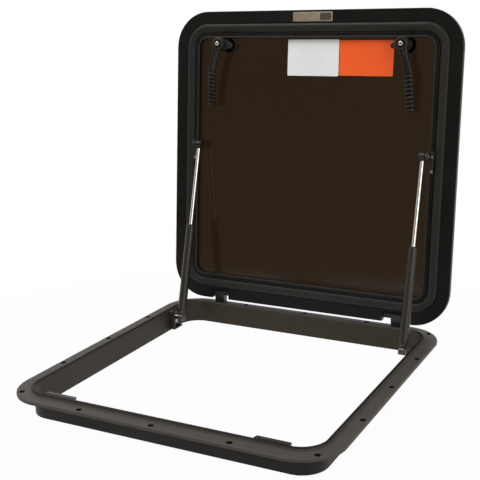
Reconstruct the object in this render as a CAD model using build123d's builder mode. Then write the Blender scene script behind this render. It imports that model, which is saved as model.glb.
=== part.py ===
import os
from math import cos, radians, sin

from build123d import *

os.makedirs("parts", exist_ok=True)

# Deck frame: a square flange with a raised lip round the opening and a spigot that drops through the deck
flange_width = 620.0
flange_corner_radius = 75.0
flange_thickness = 5.8
flange_edge_radius = 2.2
lip_inset = 25.6
lip_height = 10.7
lip_edge_radius = 1.0
lip_chamfer = 2.8
spigot_inset = 29.9
spigot_wall = 3.0
spigot_depth = 37.1

# Deck screw holes in the flange
deck_hole_inset = 9.5
deck_corner_inset = 28.7
deck_hole_end_gap = 138.3
deck_hole_radius = 2.65
deck_head_radius = 5.2
head_angle = 90.0

# Lid, given as it lies closed over the deck frame
lid_side_overhang = 8.6
lid_end_overhang = 4.4
lid_corner_radius = 75.0
lid_thickness = 18.0
lid_crown_radius = 7.0
lid_foot_radius = 1.2
channel_inset = 25.0
channel_width = 20.5
channel_depth = 8.0
rebate_inset = 48.0
window_inset = 56.5
ledge_thickness = 7.0
opening_angle = 95.7

# Rubber seal in the lid's channel
seal_side_gap = 0.3
seal_width = 17.8
seal_proud = 2.0
seal_round = 5.5
closing_gap = 0.3

# Acrylic pane and the bond that holds it
pane_thickness = 9.0
pane_edge_chamfer = 1.0
bond_width = 1.5
bond_thickness = 0.7

# Hinges
hinge_axis_inset = 8.4
hinge_axis_height = 29.4
hinge_barrel_radius = 8.0
hinge_pin_radius = 3.0
hinge_pin_head_radius = 4.8
hinge_pin_head_thickness = 1.8
hinge_pin_head_round = 0.9
hinge_pin_end_chamfer = 0.6
hinge_pin_proud = 0.6
knuckle_inset = 129.0
knuckle_width = 15.5
knuckle_gap = 0.5
lug_width = 22.0
lug_foot_depth = 13.0
lug_foot_height = 3.0
lug_screw_pitch = 11.0
lug_screw_length = 14.0
notch_depth = 22.2
notch_inner_gap = 1.2
notch_outer_gap = 3.0
leaf_thickness = 4.0
leaf_width = 31.0
leaf_depth = 24.0
leaf_corner_radius = 4.0
leaf_screw_pitch = 18.0
leaf_screw_length = 10.5

# Latches
latch_side_inset = 74.1
latch_front_inset = 69.1
latch_rest_lean = 9.6
bush_radius = 8.8
bush_flange_radius = 12.0
bush_flange_thickness = 3.0
bush_edge_chamfer = 0.6
gasket_radius = 15.5
gasket_thickness = 1.5
escutcheon_radius = 16.5
escutcheon_thickness = 5.0
escutcheon_cap = 2.2
escutcheon_round = 1.1
spindle_radius = 6.0
spindle_square = 8.4
spindle_head_radius = 10.0
spindle_head_thickness = 2.5
spindle_slot_width = 2.4
spindle_slot_depth = 1.4
cam_clearance = 0.3
cam_thickness = 5.0
cam_hub_radius = 10.5
cam_nose_radius = 5.5
cam_reach = 27.0
cam_edge_chamfer = 0.8
hub_radius = 13.5
hub_height = 16.0
hub_edge_radius = 2.4
latch_washer_radius = 8.0
latch_washer_thickness = 1.0
latch_screw_radius = 2.5
latch_screw_length = 12.0
latch_screw_head_radius = 6.4
latch_screw_head_height = 3.4
latch_screw_head_round = 1.7

# Lever of the latch handle: the bow of its neck and the line of its grip, from the turning axis
neck_start = 5.0
neck_middle = 33.0
neck_middle_bow = 4.0
neck_middle_height = 22.7
grip_start = 60.0
grip_start_bow = 6.3
grip_start_height = 20.5
grip_length = 73.0
grip_end_bow = -1.9
grip_end_height = 10.9
hub_arm_width = 19.0
hub_arm_thickness = 13.0
hub_arm_height = 20.9
neck_width = 14.0
neck_thickness = 10.5
neck_end_width = 15.5
neck_end_thickness = 9.6
neck_channel_depth = 1.6
neck_rail_width = 2.8
grip_width = 13.8
grip_thickness = 8.0
lever_corner_radius = 3.4
rib_count = 9
rib_length = 4.4
rib_height = 2.2

# Keepers on the front inner wall
keeper_length = 60.5
keeper_thickness = 3.0
keeper_drop = 16.0
keeper_rise = 10.4
keeper_ledge_height = 5.7
keeper_ledge_thickness = 3.2
keeper_ledge_reach = 8.5
keeper_corner_radius = 1.4
keeper_end_chamfer = 2.5
keeper_screw_pitch = 40.0
keeper_screw_height = -8.0

# Gas struts, between a pivot on the deck frame and one on the lid
strut_wall_gap = 23.6
lower_pivot_inset = 75.1
lower_pivot_height = -7.0
closed_strut_reach = 231.8
upper_pivot_height = 0.8
tube_radius = 9.25
tube_bore_radius = 8.1
tube_start = 15.5
tube_base_thickness = 5.0
tube_end = 203.3
tube_edge_radius = 0.9
gland_depth = 8.0
gland_collar_radius = 8.7
gland_collar_height = 2.0
gland_collar_chamfer = 0.8
rod_radius = 4.0
piston_length = 9.0
piston_offset = 12.0
piston_ring_depth = 1.0
piston_ring_width = 2.0

# Ball joints at the ends of the struts
ball_radius = 5.0
ball_clearance = 0.1
ball_neck_radius = 2.6
socket_radius = 8.0
socket_inner_half = 7.0
socket_outer_half = 5.5
socket_mouth_radius = 4.5
stem_radius = 5.3
lower_stem_length = 15.0
lower_stem_grip = 5.0
lower_shoulder_radius = 7.2
lower_shoulder_length = 5.5
upper_stem_length = 10.0
upper_stem_grip = 4.0
collar_gap = 0.8
collar_thickness = 2.0
collar_radius = 5.6
stud_shank_radius = 4.6
stud_thread_radius = 3.0
open_pivot_gap = 0.3

# Brackets that carry the struts
base_bracket_front = 12.0
base_bracket_rear = 20.0
base_bracket_top = 7.5
base_bracket_bottom = -33.6
base_bracket_reach = 13.6
base_bracket_sheet = 3.0
base_bracket_web = 2.5
base_bracket_corner = 4.0
base_screw_rear = 12.5
base_screw_upper = 0.5
base_screw_lower = -22.0
lid_bracket_offset = 8.7
lid_bracket_width = 10.8
lid_bracket_sheet = 3.0
lid_bracket_front = 9.0
lid_bracket_rear = 36.0
lid_bracket_round = 9.0
lid_screw_inset = 3.7
lid_screw_first = 1.7
lid_screw_second = 30.2
lid_screw_length = 3.6
lid_screw_head_radius = 3.2
lid_screw_head_height = 2.2
lid_screw_head_taper = 30.0
rivet_end = 1.5
rivet_head_radius = 3.75

# Small screws and fits
screw_radius = 2.0
screw_head_radius = 4.0
drive_radius = 1.5
drive_depth = 1.2
fit_clearance = 0.05
running_clearance = 0.08

# Places worked out from the sizes above
flange_half = flange_width / 2
clear_inset = spigot_inset + spigot_wall
clear_half = flange_half - clear_inset
face_height = lip_height + seal_proud + closing_gap
lid_half_width = flange_half + lid_side_overhang
lid_half_length = flange_half + lid_end_overhang
hinge_axis_y = flange_half - hinge_axis_inset
pane_height = face_height + ledge_thickness + bond_thickness
pane_inset = rebate_inset + bond_width
pane_top = pane_height + pane_thickness
latch_spread = clear_half - latch_side_inset
latch_y = latch_front_inset - lid_half_length
strut_spread = clear_half - strut_wall_gap
lower_pivot_y = clear_half - lower_pivot_inset
upper_pivot_y = lower_pivot_y - closed_strut_reach
knuckle_start = flange_half - knuckle_inset
knuckle_end = knuckle_start + knuckle_width
lug_start = knuckle_end + knuckle_gap
lug_end = lug_start + lug_width
notch_y = lid_half_length - notch_depth
notch_start = knuckle_start - notch_inner_gap
notch_width = lug_end + notch_outer_gap - notch_start
notch_x = notch_start + notch_width / 2

# The lid and everything on it is drawn in its closed place and turned open about the hinge axis
lid_swing = (
    Pos(0, hinge_axis_y, hinge_axis_height)
    * Rot(-opening_angle, 0, 0)
    * Pos(0, -hinge_axis_y, -hinge_axis_height)
)
lid_up = Plane(lid_swing).z_dir


def on_lid(plane):
    """Turn a plane of the closed lid into its open place."""
    return Plane(lid_swing * plane.location)


def level(height):
    """Level plane of the closed lid at a height above the deck."""
    return on_lid(Plane.XY.offset(height))


def base_outline(inset):
    """Rounded square of the deck frame, drawn in from the flange edge."""
    side = flange_width - 2 * inset
    return RectangleRounded(side, side, flange_corner_radius - inset)


def lid_outline(inset, mode=Mode.ADD):
    """Rounded outline of the lid, drawn in from its edge."""
    return RectangleRounded(
        2 * (lid_half_width - inset), 2 * (lid_half_length - inset), lid_corner_radius - inset, mode=mode
    )


def add_countersunk_screw(seat, length):
    """Add a countersunk screw, its head flush with the seat plane and its shank behind it."""
    head_depth = screw_head_radius - screw_radius
    with BuildSketch(seat) as head:
        Circle(screw_head_radius)
    extrude(head.sketch, amount=-head_depth, taper=head_angle / 2)
    with BuildSketch(seat) as shank:
        Circle(screw_radius)
    extrude(shank.sketch, amount=-length)
    with BuildSketch(seat) as drive:
        RegularPolygon(drive_radius, 6)
    extrude(drive.sketch, amount=-drive_depth, mode=Mode.SUBTRACT)


def cut_countersunk_hole(seat):
    """Cut the hole for a countersunk screw, as deep as the piece."""
    with Locations(seat.location):
        CounterSinkHole(
            screw_radius + fit_clearance,
            screw_head_radius + fit_clearance,
            counter_sink_angle=head_angle,
        )


def cut_round(seat, radius, depth):
    """Cut a round hole behind the seat plane."""
    with BuildSketch(seat) as bore:
        Circle(radius)
    extrude(bore.sketch, amount=-depth, mode=Mode.SUBTRACT)


def write(part, name):
    """Label one piece and write it."""
    part.label = name
    export_step(part, f"parts/{name}.step")


def write_pair(right, name):
    """Write a right-hand piece and its mirror image on the left."""
    with BuildPart() as left:
        mirror(right.part, about=Plane.YZ)
    write(right.part, name + "_right")
    write(left.part, name + "_left")


def both_sides(planes):
    """The planes of the right side and their mirror images on the left."""
    mirrored = [
        Plane(
            origin=(-plane.origin.X, plane.origin.Y, plane.origin.Z),
            x_dir=(plane.x_dir.X, -plane.x_dir.Y, -plane.x_dir.Z),
            z_dir=(-plane.z_dir.X, plane.z_dir.Y, plane.z_dir.Z),
        )
        for plane in planes
    ]
    return planes + mirrored


# Deck screw places: four corners and three along each side
deck_row = flange_half - deck_hole_inset
deck_corner = flange_half - deck_corner_inset
deck_hole_pitch = deck_corner - deck_hole_end_gap
deck_holes = [(x, y) for x in (-deck_corner, deck_corner) for y in (-deck_corner, deck_corner)]
for step in (-deck_hole_pitch, 0, deck_hole_pitch):
    deck_holes += [(step, -deck_row), (step, deck_row), (-deck_row, step), (deck_row, step)]

# Screw seats on the right side of the deck frame
lug_screw_x = [lug_start + lug_width / 2 + step * lug_screw_pitch / 2 for step in (-1, 1)]
lug_seats = [
    Plane(origin=(x, hinge_axis_y, 0), x_dir=(1, 0, 0), z_dir=(0, 0, -1)) for x in lug_screw_x
]
keeper_face_y = -clear_half + keeper_thickness
keeper_seats = [
    Plane(
        origin=(latch_spread + step * keeper_screw_pitch / 2, keeper_face_y, keeper_screw_height),
        x_dir=(1, 0, 0),
        z_dir=(0, 1, 0),
    )
    for step in (-1, 1)
]
base_bracket_face = clear_half - base_bracket_sheet
base_screw_y = lower_pivot_y + base_screw_rear
base_bracket_seats = [
    Plane(origin=(base_bracket_face, base_screw_y, height), x_dir=(0, 1, 0), z_dir=(-1, 0, 0))
    for height in (base_screw_upper, base_screw_lower)
]
lower_pivot = Plane(
    origin=(strut_spread, lower_pivot_y, lower_pivot_height), x_dir=(0, 1, 0), z_dir=(1, 0, 0)
)

with BuildPart() as base_frame:
    with BuildSketch():
        base_outline(0)
    extrude(amount=flange_thickness)
    flange_top = base_frame.faces().sort_by(Axis.Z)[-1]
    fillet(flange_top.outer_wire().edges(), radius=flange_edge_radius)
    with BuildSketch():
        base_outline(lip_inset)
    extrude(amount=lip_height)
    lip_top = base_frame.faces().sort_by(Axis.Z)[-1]
    fillet(lip_top.outer_wire().edges(), radius=lip_edge_radius)
    with BuildSketch():
        base_outline(spigot_inset)
    extrude(amount=-spigot_depth)
    with BuildSketch(Plane.XY.offset(-spigot_depth)):
        base_outline(clear_inset)
    extrude(amount=spigot_depth + lip_height, mode=Mode.SUBTRACT)
    lip_top = base_frame.faces().sort_by(Axis.Z)[-1]
    chamfer(lip_top.inner_wires()[0].edges(), length=lip_chamfer)
    with Locations([(x, y, flange_thickness) for x, y in deck_holes]):
        CounterSinkHole(deck_hole_radius, deck_head_radius, counter_sink_angle=head_angle)
    for seat in both_sides(lug_seats):
        cut_countersunk_hole(seat)
    for seat in both_sides(keeper_seats + base_bracket_seats):
        cut_round(seat, screw_radius + fit_clearance, 2 * spigot_wall + keeper_thickness)
write(base_frame.part, "base_frame")

# Keeper: a plate on the front wall with a ledge that the cam draws against
with BuildPart() as keeper:
    with BuildSketch(Plane.YZ.offset(latch_spread - keeper_length / 2)):
        with BuildLine():
            Polyline(
                (-clear_half, -keeper_drop),
                (keeper_face_y, -keeper_drop),
                (keeper_face_y, keeper_ledge_height),
                (keeper_face_y + keeper_ledge_reach, keeper_ledge_height),
                (keeper_face_y + keeper_ledge_reach, keeper_ledge_height + keeper_ledge_thickness),
                (keeper_face_y, keeper_ledge_height + keeper_ledge_thickness),
                (keeper_face_y, keeper_rise),
                (-clear_half, keeper_rise),
                close=True,
            )
        make_face()
    extrude(amount=keeper_length)
    chamfer(keeper.edges().filter_by(Axis.Z).group_by(Axis.Y)[-1], length=keeper_end_chamfer)
    ledge_front = keeper.faces().sort_by(Axis.Y)[-1]
    fillet(ledge_front.edges().filter_by(Axis.X), radius=keeper_corner_radius)
    for seat in keeper_seats:
        cut_countersunk_hole(seat)
write_pair(keeper, "keeper")

keeper_screw_length = keeper_thickness + spigot_wall - fit_clearance
with BuildPart() as keeper_screws:
    for seat in both_sides(keeper_seats):
        add_countersunk_screw(seat, keeper_screw_length)
write(keeper_screws.part, "keeper_screws")

# Lower strut bracket: a folded plate on the side wall with a front cheek and a bottom shelf
with BuildPart() as strut_base_bracket:
    wall_plane = Plane.YZ.offset(clear_half)
    bracket_front_y = lower_pivot_y - base_bracket_front
    bracket_depth = base_bracket_front + base_bracket_rear
    bracket_height = base_bracket_top - base_bracket_bottom
    with BuildSketch(wall_plane):
        with Locations((bracket_front_y, base_bracket_bottom)):
            Rectangle(bracket_depth, bracket_height, align=(Align.MIN, Align.MIN))
    extrude(amount=-base_bracket_sheet)
    with BuildSketch(wall_plane):
        with Locations((bracket_front_y, base_bracket_bottom)):
            Rectangle(base_bracket_web, bracket_height, align=(Align.MIN, Align.MIN))
            Rectangle(bracket_depth, base_bracket_web, align=(Align.MIN, Align.MIN))
    extrude(amount=-base_bracket_reach)
    fillet(
        strut_base_bracket.edges().filter_by(Axis.Y).group_by(Axis.X)[0].sort_by(Axis.Z)[-1],
        radius=base_bracket_corner,
    )
    for seat in base_bracket_seats:
        cut_countersunk_hole(seat)
    cut_round(
        Plane(origin=(clear_half, lower_pivot_y, lower_pivot_height), z_dir=(1, 0, 0)),
        stud_thread_radius + fit_clearance,
        base_bracket_reach,
    )
write_pair(strut_base_bracket, "strut_base_bracket")

bracket_screw_length = base_bracket_sheet + spigot_wall - fit_clearance
with BuildPart() as base_bracket_screws:
    for seat in both_sides(base_bracket_seats):
        add_countersunk_screw(seat, bracket_screw_length)
write(base_bracket_screws.part, "base_bracket_screws")

# Hinge lug on the flange, rounded over the hinge axis
hinge_line = Plane.YZ.offset(lug_start)
with BuildPart() as hinge_lug:
    with BuildSketch(hinge_line):
        with Locations((hinge_axis_y, hinge_axis_height)):
            Circle(hinge_barrel_radius)
        with Locations((hinge_axis_y, flange_thickness)):
            Rectangle(lug_foot_depth, lug_foot_height, align=(Align.CENTER, Align.MIN))
        make_hull()
    extrude(amount=lug_width)
    with BuildSketch(hinge_line):
        with Locations((hinge_axis_y, hinge_axis_height)):
            Circle(hinge_pin_radius + fit_clearance)
    extrude(amount=lug_width, mode=Mode.SUBTRACT)
    for seat in lug_seats:
        cut_round(seat, screw_radius + fit_clearance, lug_screw_length + fit_clearance)
write_pair(hinge_lug, "hinge_lug")

with BuildPart() as hinge_lug_screws:
    for seat in both_sides(lug_seats):
        add_countersunk_screw(seat, lug_screw_length)
write(hinge_lug_screws.part, "hinge_lug_screws")

# Hinge pin, headed against the outer side of the lug
pin_head_plane = Plane(origin=(lug_end + fit_clearance, hinge_axis_y, hinge_axis_height), z_dir=(1, 0, 0))
pin_length = lug_end - knuckle_start + hinge_pin_proud
with BuildPart() as hinge_pin:
    with BuildSketch(pin_head_plane):
        Circle(hinge_pin_radius)
    extrude(amount=-pin_length)
    pin_end = hinge_pin.faces().sort_by(Axis.X)[0]
    chamfer(pin_end.edges(), length=hinge_pin_end_chamfer)
    with BuildSketch(pin_head_plane):
        Circle(hinge_pin_head_radius)
    extrude(amount=hinge_pin_head_thickness)
    pin_head = hinge_pin.faces().sort_by(Axis.X)[-1]
    fillet(pin_head.edges(), radius=hinge_pin_head_round)
write_pair(hinge_pin, "hinge_pin")


def add_ball_stud(pivot, shank_end, thread_end):
    """Add a ball with its neck, collar and shank, from the pivot plane outward along its normal."""
    collar_start = socket_outer_half + collar_gap
    Sphere(ball_radius)
    with BuildSketch(pivot) as neck:
        Circle(ball_neck_radius)
    extrude(neck.sketch, amount=collar_start)
    with BuildSketch(pivot.offset(collar_start)) as collar:
        RegularPolygon(collar_radius, 6)
    extrude(collar.sketch, amount=collar_thickness)
    with BuildSketch(pivot.offset(collar_start)) as shank:
        Circle(stud_shank_radius)
    extrude(shank.sketch, amount=shank_end - collar_start)
    if thread_end > shank_end:
        with BuildSketch(pivot.offset(shank_end)) as thread:
            Circle(stud_thread_radius)
        extrude(thread.sketch, amount=thread_end - shank_end)


# Strut line from the lower pivot to the upper pivot in the open place
upper_pivot = on_lid(
    Plane(origin=(strut_spread, upper_pivot_y, upper_pivot_height), x_dir=(0, 1, 0), z_dir=(1, 0, 0))
)
strut_run = upper_pivot.origin - lower_pivot.origin
strut_length = strut_run.length
strut_line = Plane(origin=lower_pivot.origin, x_dir=(1, 0, 0), z_dir=strut_run)

with BuildPart(lower_pivot) as lower_stud:
    add_ball_stud(lower_pivot, base_bracket_face - strut_spread, clear_half - fit_clearance - strut_spread)
write_pair(lower_stud, "lower_stud")

with BuildPart(upper_pivot) as upper_stud:
    stud_end = lid_bracket_offset - open_pivot_gap
    add_ball_stud(upper_pivot, stud_end, stud_end)
write_pair(upper_stud, "upper_stud")


def add_socket(pivot, stem_plane, stem_length, bore_radius, bore_depth):
    """Add a ball socket and its stem, with a bore in the stem's end for what is fixed in it."""
    with BuildSketch(stem_plane) as stem:
        Circle(stem_radius)
    extrude(stem.sketch, amount=stem_length)
    with BuildSketch(pivot.offset(-socket_inner_half)) as cheek:
        Circle(socket_radius)
    extrude(cheek.sketch, amount=socket_inner_half + socket_outer_half)
    with BuildSketch(stem_plane.offset(stem_length)) as bore:
        Circle(bore_radius)
    extrude(bore.sketch, amount=-bore_depth, mode=Mode.SUBTRACT)
    Sphere(ball_radius + ball_clearance, mode=Mode.SUBTRACT)
    with BuildSketch(pivot) as mouth:
        Circle(socket_mouth_radius)
    extrude(mouth.sketch, amount=socket_outer_half, mode=Mode.SUBTRACT)


# Lower end fitting: a socket with a shouldered stem and a stub that is fixed in the tube's base
with BuildPart(lower_pivot) as strut_tube_eye:
    add_socket(lower_pivot, strut_line, lower_stem_length, rod_radius, lower_stem_grip)
    with BuildSketch(strut_line.offset(lower_stem_length - lower_shoulder_length)):
        Circle(lower_shoulder_radius)
    extrude(amount=lower_shoulder_length)
    with BuildSketch(strut_line.offset(lower_stem_length)):
        Circle(rod_radius)
    extrude(amount=tube_base_thickness)
write_pair(strut_tube_eye, "strut_tube_eye")

upper_stem = Plane(origin=upper_pivot.origin, x_dir=(1, 0, 0), z_dir=-strut_line.z_dir)
with BuildPart(upper_pivot) as strut_rod_eye:
    add_socket(upper_pivot, upper_stem, upper_stem_length, rod_radius + fit_clearance, upper_stem_grip)
write_pair(strut_rod_eye, "strut_rod_eye")

along_strut = Axis(strut_line.origin, strut_line.z_dir)
with BuildPart() as strut_tube:
    with BuildSketch(strut_line.offset(tube_start)):
        Circle(tube_radius)
    extrude(amount=tube_end - tube_start)
    tube_ends = strut_tube.faces().sort_by(along_strut)
    fillet(tube_ends[0].edges() + tube_ends[-1].edges(), radius=tube_edge_radius)
    with BuildSketch(strut_line.offset(tube_start + tube_base_thickness)):
        Circle(tube_bore_radius)
    extrude(amount=tube_end - tube_start, mode=Mode.SUBTRACT)
    with BuildSketch(strut_line.offset(tube_start)):
        Circle(rod_radius + fit_clearance)
    extrude(amount=tube_base_thickness, mode=Mode.SUBTRACT)
write_pair(strut_tube, "strut_tube")

with BuildPart() as strut_gland:
    with BuildSketch(strut_line.offset(tube_end - gland_depth)):
        Circle(tube_bore_radius - fit_clearance)
    extrude(amount=gland_depth)
    with BuildSketch(strut_line.offset(tube_end)):
        Circle(gland_collar_radius)
    extrude(amount=gland_collar_height)
    gland_top = strut_gland.faces().sort_by(along_strut)[-1]
    chamfer(gland_top.edges(), length=gland_collar_chamfer)
    with BuildSketch(strut_line.offset(tube_end - gland_depth)):
        Circle(rod_radius + running_clearance)
    extrude(amount=gland_depth + gland_collar_height, mode=Mode.SUBTRACT)
write_pair(strut_gland, "strut_gland")

piston_start = tube_end - gland_depth - piston_offset
rod_start = piston_start - fit_clearance
rod_end = strut_length - upper_stem_length + upper_stem_grip - fit_clearance
with BuildPart() as strut_rod:
    with BuildSketch(strut_line.offset(rod_start)):
        Circle(rod_radius)
    extrude(amount=rod_end - rod_start)
write_pair(strut_rod, "strut_rod")

with BuildPart() as strut_piston:
    with BuildSketch(strut_line.offset(piston_start)):
        Circle(tube_bore_radius - running_clearance)
    extrude(amount=piston_length)
    with BuildSketch(strut_line.offset(piston_start + (piston_length - piston_ring_width) / 2)):
        Circle(tube_bore_radius)
        Circle(tube_bore_radius - piston_ring_depth, mode=Mode.SUBTRACT)
    extrude(amount=piston_ring_width, mode=Mode.SUBTRACT)
    with BuildSketch(strut_line.offset(piston_start)):
        Circle(rod_radius + fit_clearance)
    extrude(amount=piston_length, mode=Mode.SUBTRACT)
write_pair(strut_piston, "strut_piston")

# Lid bracket: a foot on the inner ledge and a rounded leg that holds the upper stud
lid_bracket_inner = strut_spread + lid_bracket_offset
lid_bracket_outer = lid_bracket_inner + lid_bracket_width
foot_height = face_height - lid_bracket_sheet
foot_front = upper_pivot_y - lid_bracket_front
foot_rear = upper_pivot_y + lid_bracket_rear
lid_bracket_seats = [
    on_lid(
        Plane(
            origin=(lid_bracket_outer - lid_screw_inset, upper_pivot_y + reach, foot_height),
            x_dir=(1, 0, 0),
            z_dir=(0, 0, -1),
        )
    )
    for reach in (lid_screw_first, lid_screw_second)
]
leg_plane = on_lid(Plane.YZ.offset(lid_bracket_inner))
with BuildPart() as strut_lid_bracket:
    with BuildSketch(level(foot_height)):
        with Locations((lid_bracket_inner, foot_front)):
            Rectangle(lid_bracket_width, foot_rear - foot_front, align=(Align.MIN, Align.MIN))
    extrude(amount=lid_bracket_sheet)
    with BuildSketch(leg_plane):
        with Locations((upper_pivot_y, upper_pivot_height)):
            Circle(lid_bracket_round)
        with Locations((upper_pivot_y, face_height)):
            Rectangle(2 * lid_bracket_round, lid_bracket_sheet, align=(Align.CENTER, Align.MAX))
        make_hull()
    extrude(amount=lid_bracket_sheet)
    with BuildSketch(leg_plane):
        with Locations((upper_pivot_y, upper_pivot_height)):
            Circle(stud_thread_radius + fit_clearance)
    extrude(amount=lid_bracket_sheet, mode=Mode.SUBTRACT)
    for seat in lid_bracket_seats:
        cut_round(seat, screw_radius + fit_clearance, lid_bracket_sheet)
write_pair(strut_lid_bracket, "strut_lid_bracket")

# Riveted end of the upper stud in the leg of its bracket
with BuildPart() as bracket_rivet:
    with BuildSketch(leg_plane):
        with Locations((upper_pivot_y, upper_pivot_height)):
            Circle(stud_thread_radius)
    extrude(amount=lid_bracket_sheet)
    with BuildSketch(leg_plane.offset(lid_bracket_sheet)):
        with Locations((upper_pivot_y, upper_pivot_height)):
            Circle(rivet_head_radius)
    extrude(amount=rivet_end)
write_pair(bracket_rivet, "bracket_rivet")

with BuildPart() as lid_bracket_screws:
    for seat in both_sides(lid_bracket_seats):
        with BuildSketch(seat) as head:
            Circle(lid_screw_head_radius)
        extrude(head.sketch, amount=lid_screw_head_height, taper=lid_screw_head_taper)
        with BuildSketch(seat) as shank:
            Circle(screw_radius)
        extrude(shank.sketch, amount=-lid_bracket_sheet - lid_screw_length)
write(lid_bracket_screws.part, "lid_bracket_screws")

# Lid rim: flange band, seal channel, inner ledge, pane rebate and hinge notches
lid_top = face_height + lid_thickness
leaf_centre_x = knuckle_start + knuckle_width / 2
leaf_rear = notch_y
leaf_screw_y = leaf_rear - leaf_depth / 2
leaf_screw_x = [leaf_centre_x + step * leaf_screw_pitch / 2 for step in (-1, 1)]
leaf_seats = [
    on_lid(Plane(origin=(x, leaf_screw_y, lid_top + leaf_thickness))) for x in leaf_screw_x
]
with BuildPart() as lid_frame:
    with BuildSketch(level(face_height)):
        lid_outline(0)
    extrude(amount=lid_thickness)
    along_up = Axis((0, 0, 0), lid_up)
    rim_faces = lid_frame.faces().sort_by(along_up)
    fillet(rim_faces[-1].edges(), radius=lid_crown_radius)
    fillet(lid_frame.faces().sort_by(along_up)[0].edges(), radius=lid_foot_radius)
    with BuildSketch(level(face_height)):
        lid_outline(window_inset)
    extrude(amount=lid_thickness, mode=Mode.SUBTRACT)
    with BuildSketch(level(face_height + ledge_thickness)):
        lid_outline(rebate_inset)
    extrude(amount=lid_thickness, mode=Mode.SUBTRACT)
    with BuildSketch(level(face_height)):
        lid_outline(channel_inset)
        lid_outline(channel_inset + channel_width, Mode.SUBTRACT)
    extrude(amount=channel_depth, mode=Mode.SUBTRACT)
    with BuildSketch(level(face_height)):
        with Locations((notch_x, notch_y), (-notch_x, notch_y)):
            Rectangle(notch_width, 2 * notch_depth, align=(Align.CENTER, Align.MIN))
    extrude(amount=lid_thickness, mode=Mode.SUBTRACT)
    for seat in both_sides(leaf_seats):
        cut_round(seat, screw_radius + fit_clearance, leaf_screw_length + fit_clearance)
    for seat in both_sides(lid_bracket_seats):
        cut_round(seat, screw_radius + fit_clearance, lid_bracket_sheet + lid_screw_length + fit_clearance)
write(lid_frame.part, "lid_frame")

with BuildPart() as lid_seal:
    with BuildSketch(level(face_height - seal_proud)):
        lid_outline(channel_inset + seal_side_gap)
        lid_outline(channel_inset + seal_side_gap + seal_width, Mode.SUBTRACT)
    extrude(amount=seal_proud + channel_depth)
    crest = lid_seal.faces().sort_by(along_up)[0]
    fillet(crest.edges(), radius=seal_round)
write(lid_seal.part, "lid_seal")

# Right latch: a level plane at the pivot on the pane, its local Z pointing down into the cabin and its
# local X along the lever
lever_angle = radians(90 - latch_rest_lean)
latch_plane = on_lid(
    Plane(
        origin=(latch_spread, latch_y, face_height),
        x_dir=(cos(lever_angle), sin(lever_angle), 0),
        z_dir=(0, 0, -1),
    )
)
pane_face = face_height - pane_height
pane_back = face_height - pane_top
latch_planes = both_sides([latch_plane])

with BuildPart() as glazing_pane:
    with BuildSketch(level(pane_height)):
        lid_outline(pane_inset)
    extrude(amount=pane_thickness)
    pane_upper = glazing_pane.faces().sort_by(along_up)[-1]
    chamfer(pane_upper.edges(), length=pane_edge_chamfer)
    for plane in latch_planes:
        cut_round(plane.offset(pane_face), bush_radius + fit_clearance, pane_thickness)
write(glazing_pane.part, "glazing_pane")

with BuildPart() as glazing_bond:
    with BuildSketch(level(face_height + ledge_thickness)):
        lid_outline(rebate_inset)
        lid_outline(window_inset, Mode.SUBTRACT)
    extrude(amount=bond_thickness)
    with BuildSketch(level(pane_height)):
        lid_outline(rebate_inset)
        lid_outline(pane_inset, Mode.SUBTRACT)
    extrude(amount=pane_thickness)
write(glazing_bond.part, "glazing_bond")

# Hinge leaf: a plate on the lid's rim and a knuckle round the pin beside the lug
knuckle_plane = on_lid(Plane.YZ.offset(knuckle_start))
with BuildPart() as hinge_leaf:
    with BuildSketch(level(lid_top)):
        with Locations((leaf_centre_x, leaf_screw_y)):
            RectangleRounded(leaf_width, leaf_depth, leaf_corner_radius)
    extrude(amount=leaf_thickness)
    with BuildSketch(knuckle_plane):
        with Locations((hinge_axis_y, hinge_axis_height)):
            Circle(hinge_barrel_radius)
        with Locations((leaf_screw_y, lid_top)):
            Rectangle(hinge_axis_y - leaf_screw_y, leaf_thickness, align=(Align.MIN, Align.MIN))
    extrude(amount=knuckle_width)
    with BuildSketch(knuckle_plane):
        with Locations((hinge_axis_y, hinge_axis_height)):
            Circle(hinge_pin_radius + running_clearance)
    extrude(amount=knuckle_width, mode=Mode.SUBTRACT)
    for seat in leaf_seats:
        cut_countersunk_hole(seat)
write_pair(hinge_leaf, "hinge_leaf")

with BuildPart() as hinge_leaf_screws:
    for seat in both_sides(leaf_seats):
        add_countersunk_screw(seat, leaf_screw_length)
write(hinge_leaf_screws.part, "hinge_leaf_screws")

# Latch bush through the pane, its gasket and its outer cap
bush_end = pane_back - gasket_thickness - escutcheon_thickness + escutcheon_cap
with BuildPart() as latch_bush:
    with BuildSketch(latch_plane.offset(pane_face)):
        Circle(bush_flange_radius)
    extrude(amount=bush_flange_thickness)
    flange_face = latch_bush.faces().sort_by(along_up)[0]
    chamfer(flange_face.edges(), length=bush_edge_chamfer)
    with BuildSketch(latch_plane.offset(pane_face)):
        Circle(bush_radius)
    extrude(amount=bush_end - pane_face)
    cut_round(
        latch_plane.offset(pane_face + bush_flange_thickness),
        spindle_radius + running_clearance,
        bush_flange_thickness + pane_face - bush_end,
    )
write_pair(latch_bush, "latch_bush")

with BuildPart() as latch_gasket:
    with BuildSketch(latch_plane.offset(pane_back)):
        Circle(gasket_radius)
        Circle(bush_radius + fit_clearance, mode=Mode.SUBTRACT)
    extrude(amount=-gasket_thickness)
write_pair(latch_gasket, "latch_gasket")

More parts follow.
